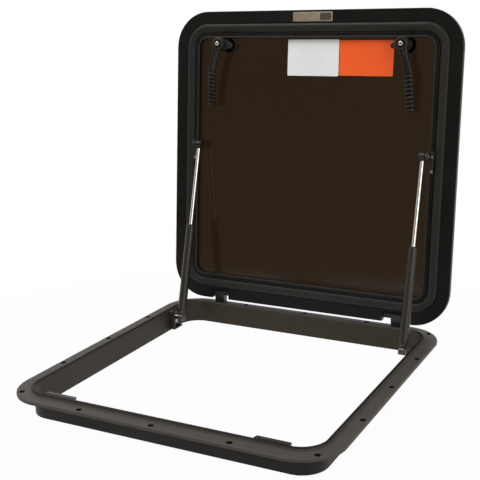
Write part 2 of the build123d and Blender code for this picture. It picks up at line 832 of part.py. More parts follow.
with BuildPart() as latch_escutcheon:
    cap_plane = latch_plane.offset(pane_back - gasket_thickness)
    with BuildSketch(cap_plane):
        Circle(escutcheon_radius)
    extrude(amount=-escutcheon_thickness)
    cap_face = latch_escutcheon.faces().sort_by(along_up)[-1]
    fillet(cap_face.edges(), radius=escutcheon_round)
    cut_round(cap_plane, bush_radius + fit_clearance, escutcheon_thickness - escutcheon_cap)
    cut_round(cap_plane, spindle_radius + running_clearance, escutcheon_thickness)
write_pair(latch_escutcheon, "latch_escutcheon")

# Heights of the turning pieces, measured down from the lid's face into the cabin
keeper_underside = face_height - keeper_ledge_height
cam_top = keeper_underside + cam_clearance
cam_bottom = cam_top + cam_thickness
hub_end = cam_bottom + hub_height
bush_face = pane_face + bush_flange_thickness
head_seat = pane_back - gasket_thickness - escutcheon_thickness - cam_clearance
square_start = bush_face + cam_clearance
square_end = hub_end - fit_clearance
square_hole = spindle_square + 2 * fit_clearance

with BuildPart() as latch_spindle:
    with BuildSketch(latch_plane.offset(head_seat)):
        Circle(spindle_head_radius)
    extrude(amount=-spindle_head_thickness)
    outer_end = latch_spindle.faces().sort_by(along_up)[-1]
    chamfer(outer_end.edges(), length=bush_edge_chamfer)
    with BuildSketch(latch_plane.offset(head_seat - spindle_head_thickness)):
        Rectangle(2 * spindle_head_radius, spindle_slot_width)
    extrude(amount=spindle_slot_depth, mode=Mode.SUBTRACT)
    with BuildSketch(latch_plane.offset(head_seat)):
        Circle(spindle_radius)
    extrude(amount=square_start - head_seat)
    with BuildSketch(latch_plane.offset(square_start)):
        Rectangle(spindle_square, spindle_square)
    extrude(amount=square_end - square_start)
    cut_round(latch_plane.offset(square_end), latch_screw_radius + fit_clearance, latch_screw_length)
write_pair(latch_spindle, "latch_spindle")

# Cam: a nose at a right angle to the lever, on a sleeve that keeps it off the bush
with BuildPart() as latch_cam:
    with BuildSketch(latch_plane.offset(cam_top)):
        Circle(cam_hub_radius)
        with Locations((0, cam_nose_radius - cam_reach)):
            Circle(cam_nose_radius)
        make_hull()
    extrude(amount=cam_thickness)
    cam_faces = latch_cam.faces().sort_by(along_up)
    chamfer(cam_faces[0].edges() + cam_faces[-1].edges(), length=cam_edge_chamfer)
    with BuildSketch(latch_plane.offset(square_start)):
        Circle(cam_hub_radius)
    extrude(amount=cam_top - square_start)
    with BuildSketch(latch_plane.offset(square_start)):
        Rectangle(square_hole, square_hole)
    extrude(amount=cam_bottom - square_start, mode=Mode.SUBTRACT)
write_pair(latch_cam, "latch_cam")


def lever_station(reach, bow, height):
    """Plane across the lever at a distance from the turning axis, its X across and its Y in height."""
    centre = latch_plane.from_local_coords((reach, bow, height))
    return Plane(origin=centre, x_dir=latch_plane.y_dir, z_dir=latch_plane.x_dir)


grip_end = grip_start + grip_length
neck_sections = [
    (neck_start, 0, hub_arm_height, hub_arm_width, hub_arm_thickness),
    (neck_middle, neck_middle_bow, neck_middle_height, neck_width, neck_thickness),
    (grip_start, grip_start_bow, grip_start_height, neck_end_width, neck_end_thickness),
]
grip_sections = [
    (grip_start, grip_start_bow, grip_start_height),
    (grip_end, grip_end_bow, grip_end_height),
]
hub_section = Plane(origin=latch_plane.origin, x_dir=latch_plane.x_dir, z_dir=-latch_plane.y_dir)
with BuildPart() as latch_handle:
    for reach, bow, height, width, thickness in neck_sections:
        with BuildSketch(lever_station(reach, bow, height)):
            RectangleRounded(width, thickness, lever_corner_radius)
    loft()
    # A shallow channel along the neck, between two rails
    for reach, bow, height, width, thickness in neck_sections:
        with BuildSketch(lever_station(reach, bow, height + thickness / 2)):
            Rectangle(width - 2 * neck_rail_width, 2 * neck_channel_depth)
    loft(mode=Mode.SUBTRACT)
    for reach, bow, height in grip_sections:
        with BuildSketch(lever_station(reach, bow, height)):
            RectangleRounded(grip_width, grip_thickness, lever_corner_radius)
    loft(ruled=True)
    with BuildSketch(hub_section) as hub_profile:
        with Locations((0, cam_bottom)):
            Rectangle(hub_radius, hub_height, align=(Align.MIN, Align.MIN))
        hub_rim = hub_profile.vertices().group_by(Axis.X)[-1].sort_by(Axis.Y)[-1]
        fillet(hub_rim, radius=hub_edge_radius)
    revolve(axis=Axis(latch_plane.origin, latch_plane.z_dir))
    for count in range(rib_count):
        share = (count + 1 / 2) / rib_count
        rib_plane = lever_station(
            grip_start + share * grip_length,
            grip_start_bow + share * (grip_end_bow - grip_start_bow),
            grip_start_height + share * (grip_end_height - grip_start_height),
        )
        with BuildSketch(rib_plane):
            RectangleRounded(
                grip_width + 2 * rib_height,
                grip_thickness + 2 * rib_height,
                lever_corner_radius + rib_height,
            )
        extrude(amount=rib_length / 2, both=True)
    with BuildSketch(latch_plane.offset(cam_bottom)):
        Rectangle(square_hole, square_hole)
    extrude(amount=hub_height, mode=Mode.SUBTRACT)
write_pair(latch_handle, "latch_handle")

with BuildPart() as latch_washer:
    with BuildSketch(latch_plane.offset(hub_end)):
        Circle(latch_washer_radius)
        Circle(latch_screw_radius + fit_clearance, mode=Mode.SUBTRACT)
    extrude(amount=latch_washer_thickness)
write_pair(latch_washer, "latch_washer")

with BuildPart() as latch_screw:
    screw_seat = latch_plane.offset(hub_end + latch_washer_thickness)
    with BuildSketch(screw_seat):
        Circle(latch_screw_head_radius)
    extrude(amount=latch_screw_head_height)
    screw_top = latch_screw.faces().sort_by(along_up)[0]
    fillet(screw_top.edges(), radius=latch_screw_head_round)
    with BuildSketch(screw_seat):
        Circle(latch_screw_radius)
    extrude(amount=-latch_screw_length)
write_pair(latch_screw, "latch_screw")
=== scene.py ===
"""Visual model of a boat escape hatch, dressed over its packed construction model, in metres."""
from collections import namedtuple
from math import cos, pi, radians, sin

import bmesh
import bpy
from mathutils import Matrix, Vector


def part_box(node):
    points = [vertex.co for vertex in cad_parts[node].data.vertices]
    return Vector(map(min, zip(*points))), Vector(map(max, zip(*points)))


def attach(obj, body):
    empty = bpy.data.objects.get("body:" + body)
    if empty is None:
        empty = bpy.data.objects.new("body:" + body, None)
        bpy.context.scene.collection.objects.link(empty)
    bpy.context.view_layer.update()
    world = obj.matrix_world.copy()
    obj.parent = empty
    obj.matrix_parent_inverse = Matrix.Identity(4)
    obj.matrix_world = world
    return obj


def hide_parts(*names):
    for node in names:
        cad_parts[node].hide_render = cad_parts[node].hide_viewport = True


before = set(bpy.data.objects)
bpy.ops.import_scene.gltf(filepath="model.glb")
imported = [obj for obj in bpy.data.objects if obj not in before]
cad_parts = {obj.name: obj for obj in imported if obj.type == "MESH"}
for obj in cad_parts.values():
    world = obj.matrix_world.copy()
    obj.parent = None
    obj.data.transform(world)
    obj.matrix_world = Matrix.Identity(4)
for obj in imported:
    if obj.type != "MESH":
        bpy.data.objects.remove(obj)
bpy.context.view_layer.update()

SIDES = {"right": 1, "left": -1}
LID = "lid"

# Camera, at the photograph's viewing angle
CAMERA_PLACE = (0.77047, -1.40697, 0.64676)
CAMERA_AZIMUTH = 26.852
CAMERA_ELEVATION = 14.088
CAMERA_ROLL = -1.123
SENSOR_WIDTH = 36.0
LENS = 68.15
SHIFT = (-0.0512, -0.0056)

# Display values: their highest, the end and slope of the straight part of their curve, and the
# offset and power of its bent part
DISPLAY_WHITE = 255
STRAIGHT_END = 0.04045
STRAIGHT_SLOPE = 12.92
CURVE_OFFSET = 0.055
CURVE_POWER = 2.4

MM_IN_METRE = 1000


def srgb(red, green, blue):
    """Linear colour of 0 to 255 display values."""
    channels = []
    for value in (red, green, blue):
        share = value / DISPLAY_WHITE
        if share <= STRAIGHT_END:
            channels.append(share / STRAIGHT_SLOPE)
        else:
            channels.append(((share + CURVE_OFFSET) / (1 + CURVE_OFFSET)) ** CURVE_POWER)
    return (*channels, 1.0)


def mm(value):
    """Millimetres as metres."""
    return value / MM_IN_METRE


def dimmed(colour, share):
    """The colour at a share of its strength."""
    return tuple(share * channel for channel in colour[:3]) + (1.0,)


# Sockets of Blender's colour mix
MIX_SHARE = 0
MIX_FIRST = 6
MIX_SECOND = 7
MIX_RESULT = 2

# Part of the range of fractal noise that most of its values lie in
NOISE_SPREAD = (0.3, 0.7)
UNIT = (0.0, 1.0)

# Rounded edges: samples, and the likeness of rounded and plain normal at and beside an edge
BEVEL_SAMPLES = 6
EDGE_SPREAD = (0.85, 0.995)
# Painted shade in recesses: samples and reach of the occlusion that places it
RECESS_SAMPLES = 8
RECESS_REACH = 0.004


def feed(tree, node, inputs):
    """Link each input of a node to the socket given for it, or set its value."""
    for key, value in inputs.items():
        if isinstance(value, bpy.types.NodeSocket):
            tree.links.new(value, node.inputs[key])
        else:
            node.inputs[key].default_value = value


def add_node(tree, kind, inputs=None, **settings):
    """Add a node, set it up and feed it."""
    made = tree.nodes.new(kind)
    for key, value in settings.items():
        setattr(made, key, value)
    feed(tree, made, inputs or {})
    return made


def add_material(name):
    """A new node material, its tree and its shader."""
    made = bpy.data.materials.new(name)
    made.use_nodes = True
    tree = made.node_tree
    return made, tree, tree.nodes["Principled BSDF"]


def add_place(tree):
    """The object's own coordinates, which are those of the shared frame."""
    return add_node(tree, "ShaderNodeTexCoord").outputs["Object"]


def add_noise(tree, place, noise):
    """Fractal noise of a scale, detail and roughness."""
    scale, detail, roughness = noise
    inputs = {"Vector": place, "Scale": scale, "Detail": detail, "Roughness": roughness}
    return add_node(tree, "ShaderNodeTexNoise", inputs).outputs["Fac"]


def add_range(tree, value, low, high, spread=NOISE_SPREAD):
    """Stretch the values of a spread onto a range."""
    inputs = {
        "Value": value,
        "From Min": spread[0],
        "From Max": spread[1],
        "To Min": low,
        "To Max": high,
    }
    return add_node(tree, "ShaderNodeMapRange", inputs).outputs["Result"]


def add_mix(tree, share, first, second, blend="MIX"):
    """Mix two colours."""
    inputs = {MIX_SHARE: share, MIX_FIRST: first, MIX_SECOND: second}
    made = add_node(tree, "ShaderNodeMix", data_type="RGBA", blend_type=blend)
    feed(tree, made, inputs)
    return made.outputs[MIX_RESULT]


def add_math(tree, operation, first, second):
    """Combine two values."""
    inputs = {0: first, 1: second}
    return add_node(tree, "ShaderNodeMath", inputs, operation=operation).outputs["Value"]


def add_vector_math(tree, operation, *vectors, output="Vector"):
    """Combine vectors."""
    inputs = dict(enumerate(vectors))
    return add_node(tree, "ShaderNodeVectorMath", inputs, operation=operation).outputs[output]


def add_parts(tree, vector):
    """The three parts of a vector."""
    return add_node(tree, "ShaderNodeSeparateXYZ", {"Vector": vector}).outputs


def add_stretch(tree, place, scale):
    """Coordinates that are scaled along each axis."""
    return add_node(tree, "ShaderNodeMapping", {"Vector": place, "Scale": scale}).outputs["Vector"]


def add_round_edges(tree, radius):
    """Normal that is rounded along edges, and a value that rises along them."""
    bevel = add_node(tree, "ShaderNodeBevel", {"Radius": radius}, samples=BEVEL_SAMPLES)
    rounded = bevel.outputs["Normal"]
    plain = add_node(tree, "ShaderNodeNewGeometry").outputs["Normal"]
    likeness = add_vector_math(tree, "DOT_PRODUCT", rounded, plain, output="Value")
    return rounded, add_range(tree, likeness, 1.0, 0.0, EDGE_SPREAD)


def add_recess_shade_mask(tree, spread):
    """Value that rises in holes and narrow corners, over a spread of openness, for painted shade."""
    occlusion = add_node(
        tree,
        "ShaderNodeAmbientOcclusion",
        {"Distance": RECESS_REACH},
        samples=RECESS_SAMPLES,
        only_local=True,
    )
    return add_range(tree, occlusion.outputs["AO"], 1.0, 0.0, spread)


def add_bump(tree, height, strength, distance, normal=None):
    """Small relief from a height value."""
    inputs = {"Height": height, "Strength": strength, "Distance": distance}
    if normal is not None:
        inputs["Normal"] = normal
    return add_node(tree, "ShaderNodeBump", inputs).outputs["Normal"]


# Deck screw holes of one eighth of the frame, by the farther and the nearer distance from its
# middle lines, and the distances from a hole's axis between which its painted shade ends
DECK_HOLES = ((0.3005, 0.0), (0.3005, 0.143), (0.2813, 0.2813))
HOLE_RIM = (0.0048, 0.0054)

# Painted shade and light on the deck frame, by place: middle of its rounded corners, reach from
# there to the middle of the spigot wall, heights at which the lip's side, the lip's top and the
# flange begin, and what the colour is multiplied by for painted shade and painted light
CORNER_CENTRE = (0.235, 0.235, 1.0)
ZERO_VECTOR = (0.0, 0.0, 0.0)
WALL_MIDDLE = (0.0432, 0.0440)
LIP_SIDE_START = (0.0060, 0.0064)
LIP_TOP_START = (0.0088, 0.0098)
FLANGE_START = (-0.0008, -0.0001)
PLAIN_SHADE = (1.0, 1.0, 1.0, 1.0)
INNER_WALL_PAINTED_SHADE = (0.56, 0.50, 0.39, 1.0)
SKIRT_PAINTED_SHADE = (0.10, 0.09, 0.07, 1.0)
LIP_SIDE_PAINTED_LIGHT = (1.5, 1.5, 1.5, 1.0)
LIP_TOP_PAINTED_SHADE = (0.12, 0.12, 0.11, 1.0)


def add_hole_shade_mask(tree, place):
    """Value that is full inside the deck screw holes, which repeat round the square frame, where
    shade is painted.
    """
    parts = add_parts(tree, add_vector_math(tree, "ABSOLUTE", place))
    farther = add_math(tree, "MAXIMUM", parts["X"], parts["Y"])
    nearer = add_math(tree, "MINIMUM", parts["X"], parts["Y"])
    flat = add_node(tree, "ShaderNodeCombineXYZ", {"X": farther, "Y": nearer}).outputs["Vector"]
    nearest = None
    for hole in DECK_HOLES:
        gap = add_vector_math(tree, "DISTANCE", flat, (*hole, 0.0), output="Value")
        nearest = gap if nearest is None else add_math(tree, "MINIMUM", nearest, gap)
    return add_range(tree, nearest, 1.0, 0.0, HOLE_RIM)


def add_painted_frame_shading(tree, place, tone):
    """Painted shade on the spigot walls and lip top, and painted light on the lip side, by the place
    on the deck frame.
    """
    height = add_parts(tree, place)["Z"]
    spread = add_vector_math(tree, "ABSOLUTE", place)
    past = add_vector_math(tree, "SUBTRACT", spread, CORNER_CENTRE)
    past = add_vector_math(tree, "MAXIMUM", past, ZERO_VECTOR)
    reach = add_vector_math(tree, "LENGTH", past, output="Value")
    outside = add_range(tree, reach, 0.0, 1.0, WALL_MIDDLE)
    # Painted shade on the inner wall and the outer skirt
    walls = add_mix(tree, outside, INNER_WALL_PAINTED_SHADE, SKIRT_PAINTED_SHADE)
    side = add_range(tree, height, 0.0, 1.0, LIP_SIDE_START)
    # Painted light on the lip's side
    above = add_mix(tree, side, PLAIN_SHADE, LIP_SIDE_PAINTED_LIGHT)
    above = add_mix(tree, outside, INNER_WALL_PAINTED_SHADE, above)
    top = add_range(tree, height, 0.0, 1.0, LIP_TOP_START)
    # Painted shade on the lip's top
    above = add_mix(tree, top, above, LIP_TOP_PAINTED_SHADE)
    below = add_range(tree, height, 1.0, 0.0, FLANGE_START)
    return add_mix(tree, 1.0, tone, add_mix(tree, below, above, walls), "MULTIPLY")


# Coated metal: noises by scale, detail and roughness, spreads of noise and openness, shares of the
# colour in its clouds and in its painted recess shade, and small measures in metres
METAL_CLOUD = (9.0, 3.0, 0.55)
METAL_SCUFF = (140.0, 5.0, 0.7)
GRAIN_DETAIL = (3.0, 0.6)
SPECK_SPREAD = (0.55, 0.8)
SPECK_MOST = 0.35
SCUFF_SPREAD = (0.45, 0.75)
SCUFF_MOST = 0.55
METAL_RECESS = (0.35, 0.85)
METAL_CLOUD_SHADE = 0.82
METAL_RECESS_PAINTED_SHADE = 0.12
METAL_EDGE = 0.0009
METAL_RELIEF = 0.0003
CLOUD_GLOSS = 0.05
GRAIN_GLOSS = 0.04


def coated_metal(
    name, colour, worn, roughness, grain, relief, coat=0.0, specular=0.5, painted_deck_shade=False
):
    """Anodised or powder coated metal: clouded tone, fine grain, lighter edges, painted shade in
    recesses; on the deck frame, painted shade and light by place.
    """
    made, tree, shader = add_material(name)
    place = add_place(tree)
    cloud = add_noise(tree, place, METAL_CLOUD)
    fine = add_noise(tree, place, (grain, *GRAIN_DETAIL))
    clouded = add_range(tree, cloud, 0.0, 1.0)
    tone = add_mix(tree, clouded, dimmed(colour, METAL_CLOUD_SHADE), colour)
    tone = add_mix(tree, add_range(tree, fine, 0.0, SPECK_MOST, SPECK_SPREAD), tone, worn)
    rounded, edge = add_round_edges(tree, METAL_EDGE)
    scuff = add_range(tree, add_noise(tree, place, METAL_SCUFF), 0.0, SCUFF_MOST, SCUFF_SPREAD)
    tone = add_mix(tree, add_math(tree, "MULTIPLY", edge, scuff), tone, worn)
    # Painted shade: in the deck frame's screw holes, with painted shade and light by place on the
    # frame; elsewhere in recesses, also lowering the gloss there
    if painted_deck_shade:
        painted_shade_mask = add_hole_shade_mask(tree, place)
        tone = add_painted_frame_shading(tree, place, tone)
    else:
        painted_shade_mask = add_recess_shade_mask(tree, METAL_RECESS)
    soft = add_range(tree, cloud, roughness - CLOUD_GLOSS, roughness + CLOUD_GLOSS)
    sharp = add_range(tree, fine, -GRAIN_GLOSS, GRAIN_GLOSS)
    finish = {
        "Base Color": add_mix(tree, painted_shade_mask, tone, dimmed(colour, METAL_RECESS_PAINTED_SHADE)),
        "Specular IOR Level": add_range(tree, painted_shade_mask, specular, 0.0, UNIT),
        "Roughness": add_math(tree, "ADD", soft, sharp),
        "Coat Weight": coat,
        "Normal": add_bump(tree, fine, relief, METAL_RELIEF, rounded),
    }
    feed(tree, shader, finish)
    return made


# Bare metal: drawn lines along the height, clouds in its gloss and tone
LINES_STRETCH = (1.0, 1.0, 0.06)
BARE_LINES = (900.0, 2.0, 0.5)
BARE_CLOUD = (60.0, 3.0, 0.55)
BARE_CLOUD_SHADE = 0.8
BARE_CLOUD_GLOSS = 0.05
BARE_EDGE = 0.0004
BARE_RELIEF = 0.00004
BARE_RELIEF_STRENGTH = 0.15


def bare_metal(name, colour, roughness, brushed):
    """Polished or brushed metal: faint drawn lines and cloudy gloss."""
    made, tree, shader = add_material(name)
    place = add_place(tree)
    lines = add_noise(tree, add_stretch(tree, place, LINES_STRETCH), BARE_LINES)
    cloud = add_noise(tree, place, BARE_CLOUD)
    clouded = add_range(tree, cloud, 0.0, 1.0)
    soft = add_range(tree, cloud, roughness, roughness + BARE_CLOUD_GLOSS)
    sharp = add_range(tree, lines, 0.0, brushed)
    rounded, _ = add_round_edges(tree, BARE_EDGE)
    finish = {
        "Base Color": add_mix(tree, clouded, dimmed(colour, BARE_CLOUD_SHADE), colour),
        "Roughness": add_math(tree, "ADD", soft, sharp),
        "Metallic": 1.0,
        "Normal": add_bump(tree, lines, BARE_RELIEF_STRENGTH, BARE_RELIEF, rounded),
    }
    feed(tree, shader, finish)
    return made


# Moulded plastic and rubber, with painted shade in slots and recesses
MOULDED_CLOUD = (24.0, 4.0, 0.55)
MOULDED_CLOUD_MOST = 0.3
MOULDED_EDGE = 0.0008
MOULDED_RECESS = (0.6, 0.95)
MOULDED_RECESS_PAINTED_SHADE = 0.1
MOULDED_RECESS_GLOSS = 0.1
MOULDED_CLOUD_GLOSS = 0.06
MOULDED_RELIEF = 0.0002
SHEEN_ROUGHNESS = 0.4


def moulded(name, colour, light, roughness, grain, relief, sheen=0.0, specular=0.5, edges=0.6):
    """Moulded plastic or rubber: matt grain, lighter edges, and painted shade in slots and recesses.
    """
    made, tree, shader = add_material(name)
    place = add_place(tree)
    cloud = add_noise(tree, place, MOULDED_CLOUD)
    pores = add_node(
        tree, "ShaderNodeTexVoronoi", {"Vector": place, "Scale": grain}, feature="SMOOTH_F1"
    )
    tone = add_mix(tree, add_range(tree, cloud, 0.0, MOULDED_CLOUD_MOST), colour, light)
    rounded, edge = add_round_edges(tree, MOULDED_EDGE)
    tone = add_mix(tree, add_math(tree, "MULTIPLY", edge, edges), tone, light)
    # Painted shade in slots and recesses: darker colour and lower gloss
    painted_shade_mask = add_recess_shade_mask(tree, MOULDED_RECESS)
    rough = (roughness - MOULDED_CLOUD_GLOSS, roughness + MOULDED_CLOUD_GLOSS)
    gloss = (specular, MOULDED_RECESS_GLOSS * specular)
    finish = {
        "Base Color": add_mix(tree, painted_shade_mask, tone, dimmed(colour, MOULDED_RECESS_PAINTED_SHADE)),
        "Specular IOR Level": add_range(tree, painted_shade_mask, *gloss, UNIT),
        "Roughness": add_range(tree, cloud, *rough),
        "Sheen Weight": sheen,
        "Sheen Roughness": SHEEN_ROUGHNESS,
        "Normal": add_bump(tree, pores.outputs["Distance"], relief, MOULDED_RELIEF, rounded),
    }
    feed(tree, shader, finish)
    return made


# Smoked pane: wipe marks run along the hatch's width
PANE_CLOUD = (2.2, 2.0, 0.55)
WIPE_STRETCH = (1.0, 4.0, 4.0)
WIPE_MARKS = (14.0, 6.0, 0.65)
WIPE_ROUGHNESS = (0.08, 0.14)
ACRYLIC_IOR = 1.49


def smoked_pane(name, colour, light):
    """Brown smoked acrylic: dark in its depth, glossy, with faint wipe marks in the gloss."""
    made, tree, shader = add_material(name)
    place = add_place(tree)
    clouded = add_range(tree, add_noise(tree, place, PANE_CLOUD), 0.0, 1.0)
    marks = add_noise(tree, add_stretch(tree, place, WIPE_STRETCH), WIPE_MARKS)
    finish = {
        "Base Color": add_mix(tree, clouded, colour, light),
        "Roughness": add_range(tree, marks, *WIPE_ROUGHNESS),
        "IOR": ACRYLIC_IOR,
        "Transmission Weight": 1.0,
    }
    feed(tree, shader, finish)
    return made


# Printed film
INK_MOTTLE = (420.0, 3.0, 0.6)
FILM_CLOUD = (16.0, 2.0, 0.55)
MOTTLE_MOST = 0.35
FILM_CLOUD_MOST = 0.5
FILM_ROUGHNESS = (0.38, 0.5)
FILM_WAVE = 0.0006
FILM_WAVE_STRENGTH = 0.25


def printed_film(name, colour, shade):
    """Printed vinyl film: almost even colour, tiny ink mottling, satin gloss."""
    made, tree, shader = add_material(name)
    place = add_place(tree)
    mottle = add_noise(tree, place, INK_MOTTLE)
    cloud = add_noise(tree, place, FILM_CLOUD)
    inked = add_range(tree, mottle, 0.0, MOTTLE_MOST)
    clouded = add_range(tree, cloud, 0.0, FILM_CLOUD_MOST)
    finish = {
        "Base Color": add_mix(tree, add_math(tree, "ADD", inked, clouded), colour, shade),
        "Roughness": add_range(tree, mottle, *FILM_ROUGHNESS),
        "Normal": add_bump(tree, cloud, FILM_WAVE_STRENGTH, FILM_WAVE),
    }
    feed(tree, shader, finish)
    return made


# Every finish, by the record's slot name where it has one: how it is made and its own values
FINISHES = {
    "frame_metal": (
        coated_metal,
        {
            "colour": srgb(72, 67, 61),
            "worn": srgb(112, 106, 97),
            "roughness": 0.5,
            "grain": 1500.0,
            "relief": 0.22,
            "specular": 0.25,
            "painted_deck_shade": True,
        },
    ),
    "lid_metal": (
        coated_metal,
        {
            "colour": srgb(19, 18, 16),
            "worn": srgb(58, 56, 52),
            "roughness": 0.4,
            "grain": 1500.0,
            "relief": 0.12,
            "specular": 0.18,
        },
    ),
    "bracket_metal": (
        coated_metal,
        {
            "colour": srgb(44, 41, 37),
            "worn": srgb(92, 87, 80),
            "roughness": 0.4,
            "grain": 1500.0,
            "relief": 0.18,
            "coat": 0.1,
            "specular": 0.4,
        },
    ),
    "knuckle_metal": (
        coated_metal,
        {
            "colour": srgb(38, 36, 33),
            "worn": srgb(84, 80, 73),
            "roughness": 0.36,
            "grain": 1500.0,
            "relief": 0.15,
            "coat": 0.1,
            "specular": 0.4,
        },
    ),
    "tube_paint": (
        coated_metal,
        {
            "colour": srgb(33, 28, 22),
            "worn": srgb(84, 77, 66),
            "roughness": 0.36,
            "grain": 1700.0,
            "relief": 0.1,
            "coat": 0.1,
        },
    ),
    "fitting_metal": (
        coated_metal,
        {
            "colour": srgb(60, 56, 49),
            "worn": srgb(128, 123, 112),
            "roughness": 0.32,
            "grain": 1500.0,
            "relief": 0.15,
            "coat": 0.2,
        },
    ),
    "seal_rubber": (
        moulded,
        {
            "colour": srgb(27, 26, 23),
            "light": srgb(37, 36, 32),
            "roughness": 0.55,
            "grain": 1800.0,
            "relief": 0.15,
            "sheen": 0.1,
            "specular": 0.32,
            "edges": 0.2,
        },
    ),
    "bond_rubber": (
        moulded,
        {
            "colour": srgb(12, 11, 10),
            "light": srgb(24, 23, 21),
            "roughness": 0.6,
            "grain": 1400.0,
            "relief": 0.2,
            "specular": 0.15,
        },
    ),
    "black_plastic": (
        moulded,
        {
            "colour": srgb(20, 18, 17),
            "light": srgb(78, 74, 70),
            "roughness": 0.42,
            "grain": 1600.0,
            "relief": 0.25,
            "specular": 0.35,
        },
    ),
    "smoked_acrylic": (
        smoked_pane,
        {"colour": srgb(36, 26, 16), "light": srgb(39, 28, 18)},
    ),
    "polished_chrome": (
        bare_metal,
        {"colour": srgb(228, 226, 220), "roughness": 0.05, "brushed": 0.05},
    ),
    "stainless_steel": (
        bare_metal,
        {"colour": srgb(196, 194, 188), "roughness": 0.2, "brushed": 0.12},
    ),
    "plate_metal": (
        bare_metal,
        {"colour": srgb(190, 180, 160), "roughness": 0.34, "brushed": 0.15},
    ),
    "white_film": (
        printed_film,
        {"colour": srgb(246, 247, 248), "shade": srgb(232, 235, 239)},
    ),
    "orange_film": (
        printed_film,
        {"colour": srgb(255, 102, 34), "shade": srgb(250, 88, 26)},
    ),
    "dark_film": (
        printed_film,
        {"colour": srgb(78, 70, 56), "shade": srgb(64, 58, 47)},
    ),
}
materials = {name: make(name, **values) for name, (make, values) in FINISHES.items()}

# Slot of every construction node, taken from the start of its name
NODE_SLOTS = {
    "base_frame": "frame_metal",
    "keeper_screws": "stainless_steel",
    "keeper": "bracket_metal",
    "strut_base_bracket": "bracket_metal",
    "base_bracket_screws": "stainless_steel",
    "lower_stud": "stainless_steel",
    "upper_stud": "stainless_steel",
    "hinge_lug_screws": "stainless_steel",
    "hinge_lug": "bracket_metal",
    "hinge_pin": "stainless_steel",
    "hinge_leaf_screws": "stainless_steel",
    "hinge_leaf": "knuckle_metal",
    "lid_frame": "lid_metal",
    "lid_seal": "seal_rubber",
    "glazing_pane": "smoked_acrylic",
    "glazing_bond": "bond_rubber",
    "strut_lid_bracket": "bracket_metal",
    "lid_bracket_screws": "stainless_steel",
    "bracket_rivet": "stainless_steel",
    "latch_bush": "black_plastic",
    "latch_gasket": "bond_rubber",
    "latch_escutcheon": "black_plastic",
    "latch_handle": "black_plastic",
    "latch_cam": "bracket_metal",
    "latch_spindle": "stainless_steel",
    "latch_washer": "bond_rubber",
    "latch_screw": "polished_chrome",
    "strut_tube_eye": "fitting_metal",
    "strut_tube": "tube_paint",
    "strut_gland": "black_plastic",
    "strut_rod_eye": "black_plastic",
    "strut_rod": "polished_chrome",
    "strut_piston": "black_plastic",
}


def slot_of(node):
    """Slot of a node: the longest listed name that the node's name starts with."""
    found = [name for name in NODE_SLOTS if node == name or node.startswith(name + "_")]
    return NODE_SLOTS[max(found, key=len)]


def paint_nodes():
    """Give every construction node its own material."""
    for name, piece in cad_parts.items():
        piece.data.materials.clear()
        piece.data.materials.append(materials[slot_of(name)])


def link_mesh(name, shape, slot, body):
    """Turn a bmesh into a piece with a finish that rides on a body."""
    mesh = bpy.data.meshes.new(name)
    shape.to_mesh(mesh)
    shape.free()
    piece = bpy.data.objects.new(name, mesh)
    bpy.context.scene.collection.objects.link(piece)
    piece.data.materials.append(materials[slot])
    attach(piece, body)
    return piece


# The lid is dressed in its closed place over the deck frame and swung open with it. Its sizes are in
# millimetres, and the hinge axis is in metres.
HINGE_AXIS = Vector((0.0, 0.3016, 0.0294))
OPEN_ANGLE = 95.7
LID_HALF_WIDTH = 318.6
LID_HALF_LENGTH = 314.4
LID_CORNER = 75.0
FACE_HEIGHT = 13.0
lid_swing = (
    Matrix.Translation(HINGE_AXIS)
    @ Matrix.Rotation(radians(-OPEN_ANGLE), 4, "X")
    @ Matrix.Translation(-HINGE_AXIS)
)

# Corners of a rounded rectangle, in the order in which their arcs are drawn
CORNERS = ((1, 1), (-1, 1), (-1, -1), (1, -1))
RING_STEPS = 24
SLAB_STEPS = 6

# Angles from which an edge stays sharp
SHARP = 35.0
SEAL_SHARP = 50.0
TRIM_SHARP = 60.0


def on_lid(x, y, depth):
    """Place on the open lid, its depth counted from the lid's face toward the cabin."""
    return lid_swing @ Vector((mm(x), mm(y), mm(FACE_HEIGHT - depth)))


def rounded_loop(centre, half_x, half_y, radius, steps):
    """Points round a rounded rectangle, corner by corner."""
    points = []
    for corner, (side_x, side_y) in enumerate(CORNERS):
        corner_x = centre[0] + side_x * (half_x - radius)
        corner_y = centre[1] + side_y * (half_y - radius)
        for step in range(steps + 1):
            angle = (corner + step / steps) * pi / 2
            points.append((corner_x + radius * cos(angle), corner_y + radius * sin(angle)))
    return points


def add_rows(shape, loops, closed=False):
    """Skin a row of point loops, and close the ends or join the last loop to the first."""
    rows = [[shape.verts.new(point) for point in loop] for loop in loops]
    pairs = list(zip(rows, rows[1:]))
    if closed:
        pairs.append((rows[-1], rows[0]))
    for first, second in pairs:
        for index in range(len(first)):
            after = (index + 1) % len(first)
            shape.faces.new((first[index], first[after], second[after], second[index]))
    if not closed:
        shape.faces.new(rows[0])
        shape.faces.new(rows[-1])


def finish_shape(name, shape, slot, body, sharp=SHARP):
    """Smooth a shape but for its sharp edges, and make it a piece."""
    bmesh.ops.recalc_face_normals(shape, faces=shape.faces)
    for face in shape.faces:
        face.smooth = True
    piece = link_mesh(name, shape, slot, body)
    piece.data.set_sharp_from_angle(angle=radians(sharp))
    return piece


